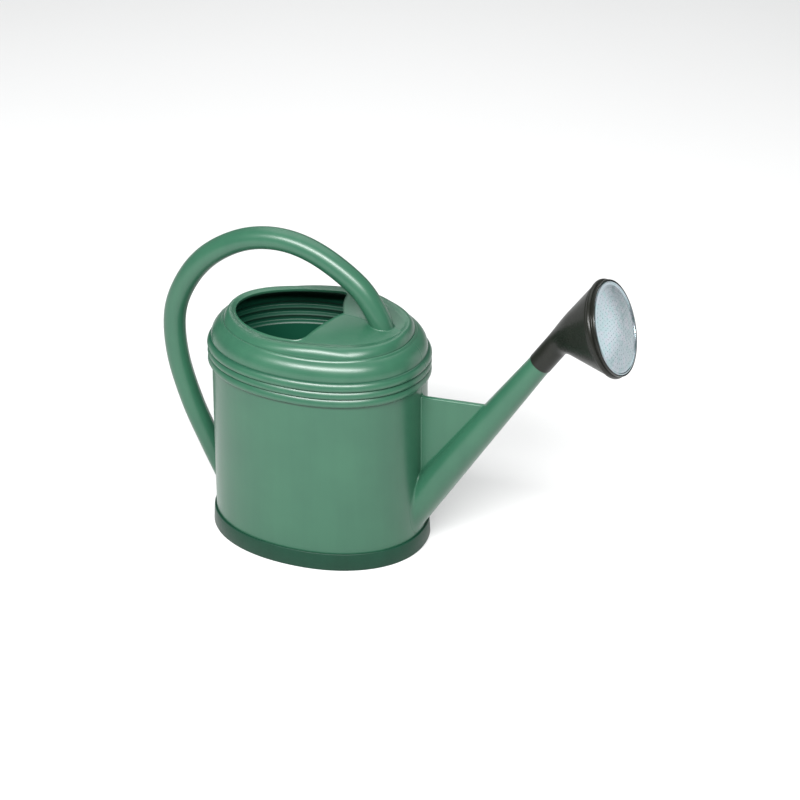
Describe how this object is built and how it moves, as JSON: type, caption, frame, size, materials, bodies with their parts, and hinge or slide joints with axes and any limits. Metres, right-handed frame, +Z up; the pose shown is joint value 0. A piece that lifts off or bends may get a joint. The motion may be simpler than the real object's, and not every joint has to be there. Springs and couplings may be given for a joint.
{
  "type": "watering can",
  "caption": "Oval moulded plastic watering can with a loop handle, a long braced spout and a push-on rose with a perforated metal plate.",
  "frame": {"origin": "on the ground under the middle of the whole can's box", "axes": "+X from the handle towards the spout and rose, +Y across the can, +Z up"},
  "size_m": [0.5891, 0.2118, 0.3934],
  "materials": {
    "can_plastic": "satin moulded polyethylene, mid green",
    "foot_plastic": "matte moulded polyethylene, dark green",
    "rose_plastic": "satin black plastic",
    "seal_rubber": "matte black rubber",
    "plate_metal": "bright perforated sheet"
  },
  "bodies": {
    "can": {"tank_wall": "can_plastic", "tank_floor": "can_plastic", "foot_ring": "foot_plastic", "shoulder_ring": "can_plastic", "mouth_deck": "can_plastic", "handle": "can_plastic", "spout": "can_plastic", "spout_web": "can_plastic"},
    "rose_seat": {"rose_seal": "seal_rubber"},
    "rose": {"rose_body": "rose_plastic", "rose_rim": "rose_plastic", "rose_plate": "plate_metal"}
  },
  "joints": [
    {"name": "rose_pull_off", "type": "slide", "parent": "can", "child": "rose_seat", "axis": [0.5678, 0, 0.8231], "range_m": [0, 0.06]},
    {"name": "rose_turn", "type": "hinge", "parent": "rose_seat", "child": "rose", "pos_m": [0.1874, 0, 0.2789], "axis": [0.5678, 0, 0.8231], "continuous": true}
  ]
}
